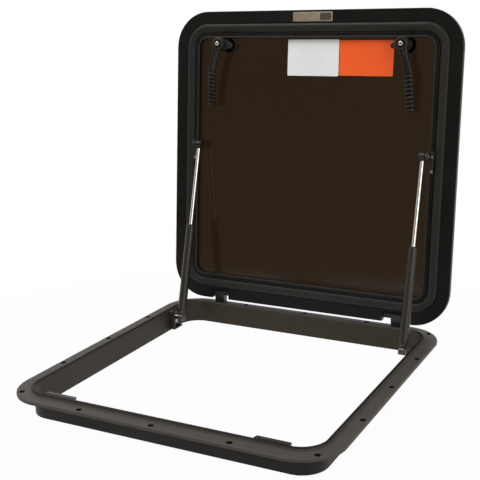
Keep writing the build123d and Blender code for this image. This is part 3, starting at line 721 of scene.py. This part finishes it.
# Seal: a broad rounded bead on a root that sits in the lid's channel; places across it from the
# outer edge, and their depth toward the cabin
SEAL_INSET = 25.6
SEAL_PROFILE = (
    (0.0, -7.9),
    (0.0, -2.0),
    (0.5, -0.9),
    (1.5, 0.1),
    (2.8, 0.95),
    (4.2, 1.6),
    (5.6, 1.95),
    (6.8, 2.0),
    (9.0, 1.85),
    (11.2, 1.5),
    (13.3, 1.1),
    (15.2, 0.6),
    (16.8, 0.0),
    (18.0, -0.8),
    (18.8, -2.0),
    (19.1, -3.6),
    (19.1, -7.9),
)


def ring_on_lid(profile, inset):
    """Closed ring round the lid from a profile of places across it and depths."""
    loops = []
    for across, depth in profile:
        drawn_in = inset + across
        half_x = LID_HALF_WIDTH - drawn_in
        half_y = LID_HALF_LENGTH - drawn_in
        outline = rounded_loop((0, 0), half_x, half_y, LID_CORNER - drawn_in, RING_STEPS)
        loops.append([on_lid(x, y, depth) for x, y in outline])
    shape = bmesh.new()
    add_rows(shape, loops, closed=True)
    return shape


def make_seal():
    """Shaped seal ring, in place of the plain one."""
    shape = ring_on_lid(SEAL_PROFILE, SEAL_INSET)
    piece = finish_shape("shaped_seal", shape, "seal_rubber", LID, SEAL_SHARP)
    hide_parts("lid_seal")


# Rounded trim on the inner edge of the land round the window, just clear of the land
TRIM_INSET = 52.2
TRIM_WIDTH = 4.2
TRIM_HEIGHT = 0.9
TRIM_STEPS = 8
TRIM_LIFT = 0.02


def make_trim():
    """Low ring of arched section round the window."""
    profile = []
    for step in range(TRIM_STEPS + 1):
        angle = pi * (1 - step / TRIM_STEPS)
        across = (1 + cos(angle)) * TRIM_WIDTH / 2
        profile.append((across, TRIM_LIFT + TRIM_HEIGHT * sin(angle)))
    shape = ring_on_lid(profile, TRIM_INSET)
    finish_shape("window_trim", shape, "seal_rubber", LID, TRIM_SHARP)


# Bare plate and its field on the lid's front band, and two blank labels on the pane: finish, edges,
# corner radius, lowest and highest depth, and bevel
Slab = namedtuple("Slab", "slot left right rear front corner low high bevel")
SLABS = {
    "bare_plate": Slab("plate_metal", -40.6, 47.3, -291.2, -310.0, 1.6, 0.02, 0.5, 0.3),
    "plate_field": Slab("dark_film", 20.0, 44.5, -293.6, -307.6, 0.6, 0.51, 0.56, 0.02),
    "white_label": Slab("white_film", -53.4, 61.3, -181.4, -255.4, 2.5, -7.68, -7.48, 0.08),
    "orange_label": Slab("orange_film", 62.8, 178.0, -182.9, -253.9, 2.5, -7.68, -7.48, 0.08),
}


def make_slab(name, slab):
    """Thin rounded plate on the lid, bevelled on its cabin side."""
    centre = ((slab.left + slab.right) / 2, (slab.rear + slab.front) / 2)
    half_x = (slab.right - slab.left) / 2
    half_y = (slab.rear - slab.front) / 2
    loops = []
    for drawn_in, depth in (
        (0.0, slab.low),
        (0.0, slab.high - slab.bevel),
        (slab.bevel, slab.high),
    ):
        outline = rounded_loop(
            centre, half_x - drawn_in, half_y - drawn_in, slab.corner, SLAB_STEPS
        )
        loops.append([on_lid(x, y, depth) for x, y in outline])
    shape = bmesh.new()
    add_rows(shape, loops)
    finish_shape(name, shape, slab.slot, LID)


# Latches: domed screws with a hexagonal recess, on the axis of each latch; rings by radius and rise
LATCH_PLACE = (203.0, -245.3)
LATCH_SCREW_SEAT = 29.6
LATCH_SCREW_RINGS = ((4.5, 0.0), (4.5, 1.1), (4.2, 1.7), (3.6, 2.1), (2.9, 2.3))
HEX_CORNERS = 6
HEX_RADIUS = 2.0
HEX_FLOOR = 0.9
ROUND_POINTS = 36


def ring_of(centre, radius, depth, corners=0):
    """Points of a circle, or of a regular polygon, on a level plane of the lid."""
    points = []
    for index in range(ROUND_POINTS):
        angle = 2 * pi * index / ROUND_POINTS
        reach = radius
        if corners:
            half = pi / corners
            reach = radius * cos(half) / cos((angle % (2 * half)) - half)
        x = centre[0] + reach * cos(angle)
        y = centre[1] + reach * sin(angle)
        points.append(on_lid(x, y, depth))
    return points


def make_latch_screws():
    """Chromed latch screws, in place of the plain ones."""
    top = LATCH_SCREW_RINGS[-1][1]
    for side, sign in SIDES.items():
        centre = (sign * LATCH_PLACE[0], LATCH_PLACE[1])
        loops = []
        for radius, rise in LATCH_SCREW_RINGS:
            loops.append(ring_of(centre, radius, LATCH_SCREW_SEAT + rise))
        for rise in (top, HEX_FLOOR):
            loops.append(ring_of(centre, HEX_RADIUS, LATCH_SCREW_SEAT + rise, HEX_CORNERS))
        shape = bmesh.new()
        add_rows(shape, loops)
        piece = finish_shape(f"domed_screw_{side}", shape, "polished_chrome", f"latch_{side}")
        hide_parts(f"latch_screw_{side}")


def dress_lid():
    """Latch screws, seal, trim, plate and labels."""
    make_latch_screws()
    make_seal()
    make_trim()
    for name, slab in SLABS.items():
        make_slab(name, slab)


def make_camera():
    """Camera with the photograph's place, direction, roll and framing."""
    azimuth = radians(CAMERA_AZIMUTH)
    elevation = radians(CAMERA_ELEVATION)
    roll = radians(CAMERA_ROLL)
    level = cos(elevation)
    back = Vector((sin(azimuth) * level, -cos(azimuth) * level, sin(elevation)))
    level_right = Vector((cos(azimuth), sin(azimuth), 0))
    level_up = back.cross(level_right)
    right = cos(roll) * level_right + sin(roll) * level_up
    up = cos(roll) * level_up - sin(roll) * level_right
    data = bpy.data.cameras.new("camera")
    data.sensor_width = SENSOR_WIDTH
    data.sensor_fit = "HORIZONTAL"
    data.lens = LENS
    data.shift_x, data.shift_y = SHIFT
    camera = bpy.data.objects.new("camera", data)
    turn = Matrix((right, up, back)).transposed().to_4x4()
    camera.matrix_world = Matrix.Translation(CAMERA_PLACE) @ turn
    bpy.context.scene.collection.objects.link(camera)
    bpy.context.scene.camera = camera


# Floor: its size in metres, and the share of plain white that the camera, metal and glass see of it
FLOOR_RADIUS = 0.8
FLOOR_POINTS = 96
FLOOR_GREY = (0.5, 0.5, 0.5, 1.0)
FLOOR_ROUGHNESS = 0.9
FLOOR_GLOW = 0.97
BACKDROP_WHITE = (1.0, 1.0, 1.0, 1.0)
FLOOR_RAYS = ("Is Camera Ray", "Is Transmission Ray", "Is Glossy Ray")

# Room that lights the object: colours, and the spreads of direction over which they change
ROOM_RAYS = ("Is Camera Ray", "Is Transmission Ray")
ROOM_FRONT = (0.18, 0.135, 0.085, 1.0)
ROOM_BEHIND = BACKDROP_WHITE
ROOM_SIDES = (0.7, 0.68, 0.64, 1.0)
ROOM_ABOVE = (0.72, 0.72, 0.73, 1.0)
BEHIND_START = (0.1, 0.7)
ABOVE_START = (0.15, 0.75)
RIGHT_START = (0.2, 0.55)
LEFT_START = (-0.85, -0.62)

# Soft square area lamps, in metres and watts
LAMPS = {
    "key_lamp": {
        "place": (-1.1, -0.9, 2.8),
        "target": (0.0, 0.0, 0.1),
        "size": 1.6,
        "power": 43.0,
    },
    "fill_lamp": {
        "place": (2.6, -1.3, 1.1),
        "target": (0.0, 0.1, 0.2),
        "size": 1.2,
        "power": 16.0,
    },
    "rim_lamp": {
        "place": (0.4, 2.2, 2.2),
        "target": (0.0, 0.2, 0.1),
        "size": 1.2,
        "power": 8.0,
    },
}


def add_ray_mask(tree, kinds):
    """Value that is full for rays of the given kinds."""
    rays = add_node(tree, "ShaderNodeLightPath").outputs
    found = rays[kinds[0]]
    for kind in kinds[1:]:
        found = add_math(tree, "MAXIMUM", found, rays[kind])
    return found


def make_floor():
    """Plain pale floor under the frame, with a soft shadow."""
    floor_height = min(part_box(name)[0].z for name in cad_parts)
    shape = bmesh.new()
    bmesh.ops.create_circle(shape, cap_ends=True, segments=FLOOR_POINTS, radius=FLOOR_RADIUS)
    mesh = bpy.data.meshes.new("floor")
    shape.to_mesh(mesh)
    shape.free()
    floor = bpy.data.objects.new("floor", mesh)
    floor.location.z = floor_height
    bpy.context.scene.collection.objects.link(floor)
    made, tree, shader = add_material("floor")
    feed(tree, shader, {"Base Color": FLOOR_GREY, "Roughness": FLOOR_ROUGHNESS})
    glow = add_node(tree, "ShaderNodeEmission", {"Color": BACKDROP_WHITE, "Strength": 1.0})
    seen = add_math(tree, "MULTIPLY", add_ray_mask(tree, FLOOR_RAYS), FLOOR_GLOW)
    layers = {0: seen, 1: shader.outputs["BSDF"], 2: glow.outputs["Emission"]}
    joined = add_node(tree, "ShaderNodeMixShader", layers).outputs["Shader"]
    feed(tree, tree.nodes["Material Output"], {"Surface": joined})
    mesh.materials.append(made)


def make_world():
    """White behind the object, a softer and darker room on its other sides."""
    world = bpy.data.worlds.new("world")
    world.use_nodes = True
    bpy.context.scene.world = world
    tree = world.node_tree
    parts = add_parts(tree, add_node(tree, "ShaderNodeTexCoord").outputs["Generated"])
    above = add_range(tree, parts["Z"], 0.0, 1.0, ABOVE_START)
    behind = add_range(tree, parts["Y"], 0.0, 1.0, BEHIND_START)
    on_right = add_range(tree, parts["X"], 0.0, 1.0, RIGHT_START)
    on_left = add_range(tree, parts["X"], 1.0, 0.0, LEFT_START)
    beside = add_math(tree, "MAXIMUM", on_right, on_left)
    horizon = add_mix(tree, behind, ROOM_FRONT, ROOM_BEHIND)
    horizon = add_mix(tree, beside, horizon, ROOM_SIDES)
    room_colour = add_mix(tree, above, horizon, ROOM_ABOVE)
    colour = add_mix(tree, add_ray_mask(tree, ROOM_RAYS), room_colour, BACKDROP_WHITE)
    feed(tree, tree.nodes["Background"], {"Color": colour, "Strength": 1.0})


def make_lamp(name, place, target, size, power):
    """Soft area lamp that points at a target."""
    data = bpy.data.lights.new(name, "AREA")
    data.shape = "SQUARE"
    data.size = size
    data.energy = power
    lamp = bpy.data.objects.new(name, data)
    lamp.location = place
    lamp.rotation_euler = (Vector(target) - Vector(place)).to_track_quat("-Z", "Y").to_euler()
    bpy.context.scene.collection.objects.link(lamp)


def make_stage():
    """Camera, floor and light."""
    bpy.context.scene.view_settings.view_transform = "Standard"
    make_camera()
    make_floor()
    make_world()
    for name, lamp in LAMPS.items():
        make_lamp(name, **lamp)


paint_nodes()
dress_lid()
make_stage()
